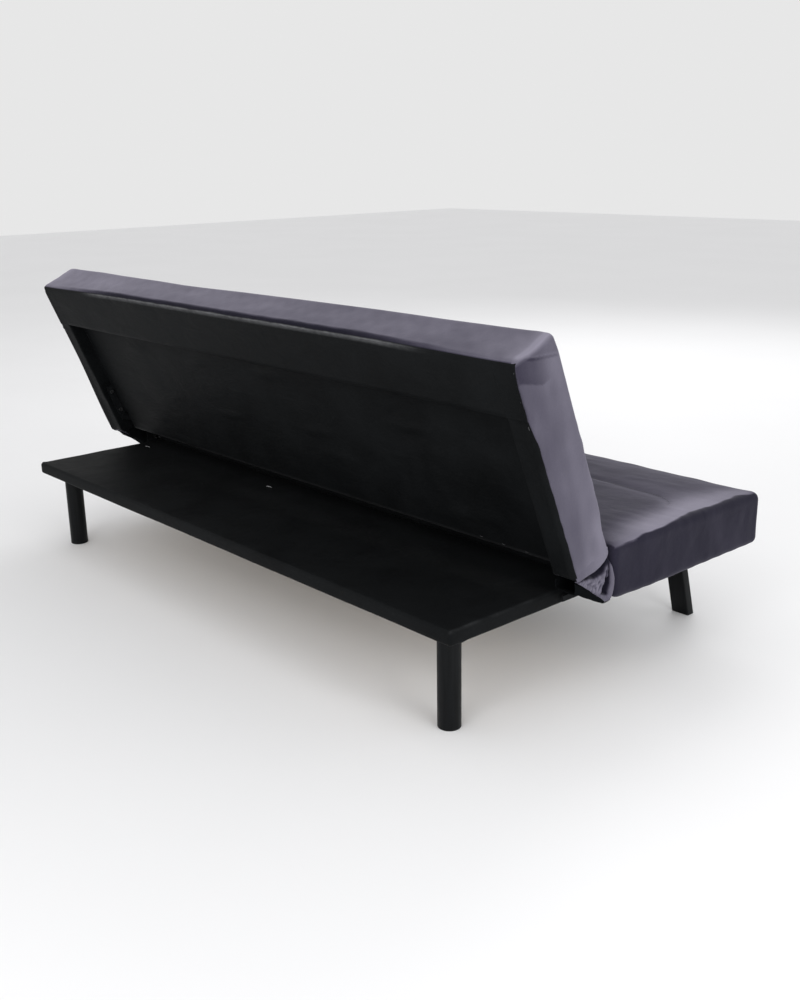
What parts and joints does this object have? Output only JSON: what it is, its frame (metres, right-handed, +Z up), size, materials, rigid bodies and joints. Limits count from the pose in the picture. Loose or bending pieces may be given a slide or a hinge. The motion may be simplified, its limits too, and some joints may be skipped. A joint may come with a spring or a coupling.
{
  "type": "click clack sofa bed",
  "caption": "Armless sofa bed with a padded seat on a low base and a backrest that clicks down flat on end hinges.",
  "frame": {"origin": "on the floor, under the middle of the sofa's outer box with the backrest up", "axes": "+X along the seat, +Y from the seat's front to the base's rear edge, +Z up; metres"},
  "size_m": [1.7996, 0.9059, 0.7581],
  "materials": {
    "velvet": "short-pile dark purple-grey velvet",
    "non_woven": "black non-woven cloth",
    "black_paint": "satin black lacquer",
    "timber": "sawn softwood",
    "plywood": "raw plywood",
    "foam": "polyurethane foam",
    "zinc_steel": "zinc plated",
    "black_steel": "black powder coat"
  },
  "bodies": {
    "frame": {"base_rear_rail": "timber", "base_middle_rail": "timber", "base_front_rail": "timber", "base_end_rail_left": "timber", "base_end_rail_right": "timber", "base_panel": "plywood", "base_cloth": "non_woven", "frame_bolt_left_1": "zinc_steel", "frame_bolt_left_2": "zinc_steel", "frame_bolt_right_1": "zinc_steel", "frame_bolt_right_2": "zinc_steel", "rear_leg_left": "black_paint", "rear_leg_right": "black_paint", "rear_leg_bolt_left": "zinc_steel", "rear_leg_bolt_right": "zinc_steel", "front_leg_left": "black_paint", "front_leg_right": "black_paint", "front_leg_bolt_left": "zinc_steel", "front_leg_bolt_right": "zinc_steel", "seat_front_rail": "timber", "seat_middle_rail": "timber", "seat_rear_rail": "timber", "seat_side_rail_left": "timber", "seat_side_rail_right": "timber", "seat_deck": "plywood", "seat_foam": "foam", "seat_cover": "velvet", "seat_lining": "non_woven", "hinge_seat_arm_left": "black_steel", "hinge_seat_arm_right": "black_steel", "hinge_pin_left": "zinc_steel", "hinge_pin_right": "zinc_steel", "pawl_rivet_left": "zinc_steel", "pawl_rivet_right": "zinc_steel", "pawl_spring_left": "zinc_steel", "pawl_spring_right": "zinc_steel", "seat_arm_bolt_left_1": "zinc_steel", "seat_arm_bolt_left_2": "zinc_steel", "seat_arm_bolt_right_1": "zinc_steel", "seat_arm_bolt_right_2": "zinc_steel", "end_pleat_left": "velvet", "end_pleat_right": "velvet", "crease_strip": "velvet"},
    "backrest": {"back_top_board": "timber", "back_top_rail": "timber", "back_lower_rail": "timber", "back_side_rail_left": "timber", "back_side_rail_right": "timber", "back_panel": "plywood", "back_foam": "foam", "back_cover": "velvet", "back_lining": "non_woven", "hinge_back_arm_left": "black_steel", "hinge_back_arm_right": "black_steel", "back_arm_bolt_left_1": "zinc_steel", "back_arm_bolt_left_2": "zinc_steel", "back_arm_bolt_right_1": "zinc_steel", "back_arm_bolt_right_2": "zinc_steel"},
    "pawl_left": {"pawl_left": "zinc_steel"},
    "pawl_right": {"pawl_right": "zinc_steel"}
  },
  "joints": [
    {"name": "backrest_recline", "type": "hinge", "parent": "frame", "child": "backrest", "pos_m": [0, 0.09329, 0.3047], "axis": [-1, 0, 0], "range_deg": [-12, 67.8], "deforming": ["end_pleat_left", "end_pleat_right", "crease_strip"]},
    {"name": "pawl_left_swing", "type": "hinge", "parent": "frame", "child": "pawl_left", "pos_m": [-0.8389, 0.07904, 0.26196], "axis": [1, 0, 0], "range_deg": [0, 8], "stiffness_Nm_per_rad": 0.5, "springref_deg": -17.19, "deforming": ["pawl_spring_left"]},
    {"name": "pawl_right_swing", "type": "hinge", "parent": "frame", "child": "pawl_right", "pos_m": [0.8389, 0.07904, 0.26196], "axis": [1, 0, 0], "range_deg": [0, 8], "stiffness_Nm_per_rad": 0.5, "springref_deg": -17.19, "deforming": ["pawl_spring_right"]}
  ]
}
